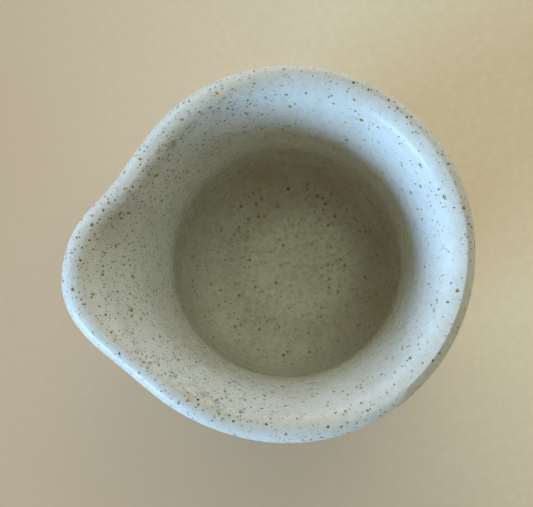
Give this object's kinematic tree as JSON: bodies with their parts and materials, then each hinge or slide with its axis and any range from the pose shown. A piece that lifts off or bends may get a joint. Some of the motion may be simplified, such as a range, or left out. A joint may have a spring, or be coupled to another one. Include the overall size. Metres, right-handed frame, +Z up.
{
  "type": "spouted stoneware cup",
  "caption": "Small handle-less stoneware pouring cup with a flared rounded lip, a pulled spout, a slight waist and a trimmed foot ring, under speckled off-white glaze.",
  "frame": {"origin": "centre of the foot ring, on the cup's axis, at the height of the surface it stands on", "axes": "+Z up along the cup's axis; the spout points along -X; +Y completes the frame, towards the shoulder of the spout that is slightly pinched in"},
  "size_m": [0.0941, 0.085, 0.08],
  "materials": {
    "bare_stoneware": "matte unglazed buff stoneware with iron specks",
    "speckled_glaze": "glossy off-white glaze with brown, golden and near-black specks"
  },
  "bodies": {
    "root": {"clay_body": "bare_stoneware", "liner_glaze": "speckled_glaze", "outer_glaze": "speckled_glaze"}
  },
  "joints": []
}
